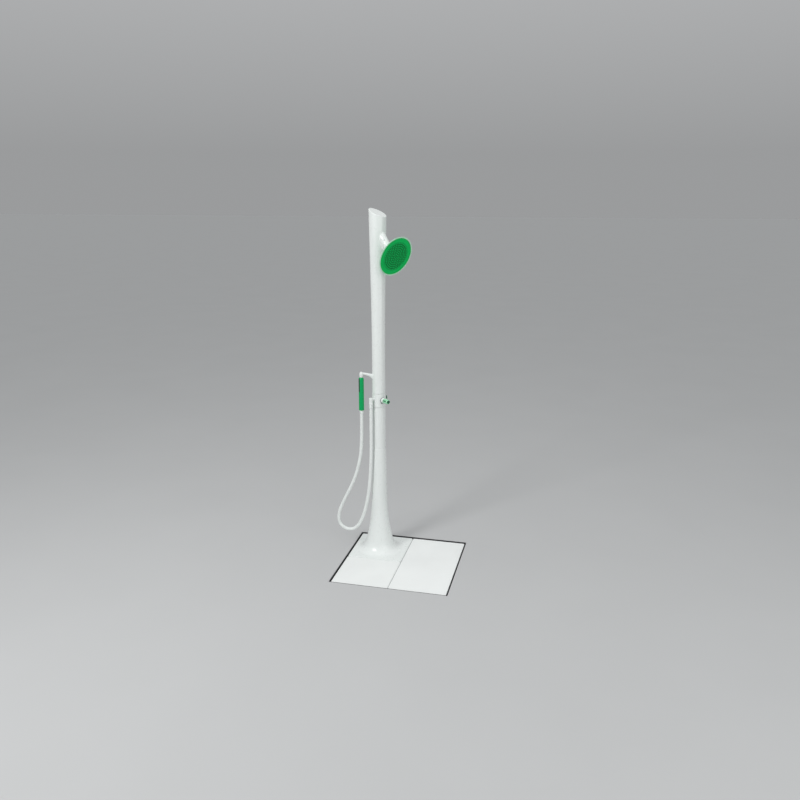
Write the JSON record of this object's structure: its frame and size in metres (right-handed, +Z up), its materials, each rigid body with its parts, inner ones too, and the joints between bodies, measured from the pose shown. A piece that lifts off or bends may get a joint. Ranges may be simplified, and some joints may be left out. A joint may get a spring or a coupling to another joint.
{
  "type": "emergency safety shower",
  "caption": "Free-standing safety shower shaped like a slender tree: tiled drain base, hollow column, tilting round rain head on a branch, mixer and hand shower on a hose.",
  "frame": {"origin": "middle of the underside of the floor base", "axes": "+Z up; the user stands on the -Y side and faces +Y, and the column rises from the rear left quarter of the base (-X, +Y)"},
  "size_m": [0.84, 0.737, 2.2943],
  "materials": {
    "white_body": "satin gelcoat over a mineral composite",
    "white_tile": "satin, fine slip-resistant surface",
    "green_head": "satin",
    "green_control": "satin",
    "green_handset": "satin",
    "dark_green": "satin",
    "nozzle_rubber": "soft silicone",
    "white_hose": "smooth hose jacket",
    "black_tray": "black powder coat",
    "black_rubber": "plain moulded",
    "black_plastic": "moulded",
    "steel": "brushed",
    "grey_joint": "plain moulded",
    "grey_plastic": "moulded",
    "brass": "machined",
    "copper_pipe": "drawn tube"
  },
  "bodies": {
    "root": {"arm_pipe": "copper_pipe", "arm_set_screw": "steel", "ball_stud": "brass", "base_plate": "black_tray", "bracket_magnet": "steel", "bracket_nut": "steel", "bracket_screw": "steel", "cartridge_nut": "brass", "centring_rings": "black_plastic", "check_valves": "grey_plastic", "cold_supply_pipe": "copper_pipe", "column_shell": "white_body", "drain_body": "grey_plastic", "drain_gasket": "black_rubber", "drain_strainer": "steel", "drain_tray": "black_tray", "front_left_tile": "white_tile", "hand_shower_bracket": "white_body", "hot_supply_pipe": "copper_pipe", "inlet_block": "brass", "joint_strips": "grey_joint", "lower_mast": "steel", "mast_flange": "black_tray", "mixer_body": "brass", "mixer_cartridge": "grey_plastic", "mixer_collar": "white_body", "outlet_elbow": "white_hose", "pedestal_bases": "black_plastic", "pedestal_heads": "black_plastic", "right_tile": "white_tile", "riser_elbow": "brass", "riser_pipe": "copper_pipe", "shower_hose": "white_hose", "top_cap": "white_body", "tray_feet": "black_rubber", "upper_hose_nut": "white_hose", "upper_hose_washer": "black_rubber", "upper_mast": "steel", "upper_shell": "white_body"},
    "ball_liner": {"ball_liner": "grey_plastic"},
    "ball_seal": {"ball_seal": "black_rubber"},
    "rain_head": {"ball_nut": "grey_plastic", "head_shell": "white_body", "flow_regulator": "grey_plastic", "face_gasket": "black_rubber", "face_plate": "green_head", "nozzle_mat": "nozzle_rubber"},
    "mixer_knob": {"mixer_spindle": "brass", "mixer_knob": "green_control", "lever_pin": "white_body", "lever_grip": "dark_green"},
    "diverter": {"diverter_sleeve": "grey_plastic", "diverter_ring": "white_body"},
    "hose_end": {"lower_hose_nut": "white_hose", "lower_hose_washer": "black_rubber"},
    "handset": {"handset_body": "green_handset", "handset_waterway": "grey_plastic", "handset_connector": "brass", "handset_keeper": "grey_plastic", "spray_strip": "dark_green"}
  },
  "joints": [
    {"name": "head_swing", "type": "hinge", "parent": "root", "child": "ball_liner", "pos_m": [-0.08768, 0.11355, 2.032], "axis": [0.3142, -0.204, 0.9272], "range_deg": [-20, 20]},
    {"name": "head_tilt", "type": "hinge", "parent": "ball_liner", "child": "ball_seal", "pos_m": [-0.08768, 0.11355, 2.032], "axis": [-0.5446, -0.8387, 0], "range_deg": [-20, 20]},
    {"name": "head_spin", "type": "hinge", "parent": "ball_seal", "child": "rain_head", "pos_m": [-0.08768, 0.11355, 2.032], "axis": [0.7776, -0.505, -0.3746], "continuous": true},
    {"name": "mixer_turn", "type": "hinge", "parent": "root", "child": "mixer_knob", "pos_m": [-0.19, 0.18, 1.105], "axis": [0.788, -0.6157, 0], "range_deg": [0, 135]},
    {"name": "diverter_turn", "type": "hinge", "parent": "root", "child": "diverter", "pos_m": [-0.19, 0.18, 1.105], "axis": [0.788, -0.6157, 0], "range_deg": [0, 90]},
    {"name": "handset_pull", "type": "slide", "parent": "root", "child": "hose_end", "axis": [0, 0, -1], "range_m": [0, 0.035], "deforming": ["shower_hose"]},
    {"name": "handset_turn", "type": "hinge", "parent": "hose_end", "child": "handset", "pos_m": [-0.291, 0.128, 1.03], "axis": [0, 0, 1], "continuous": true}
  ]
}
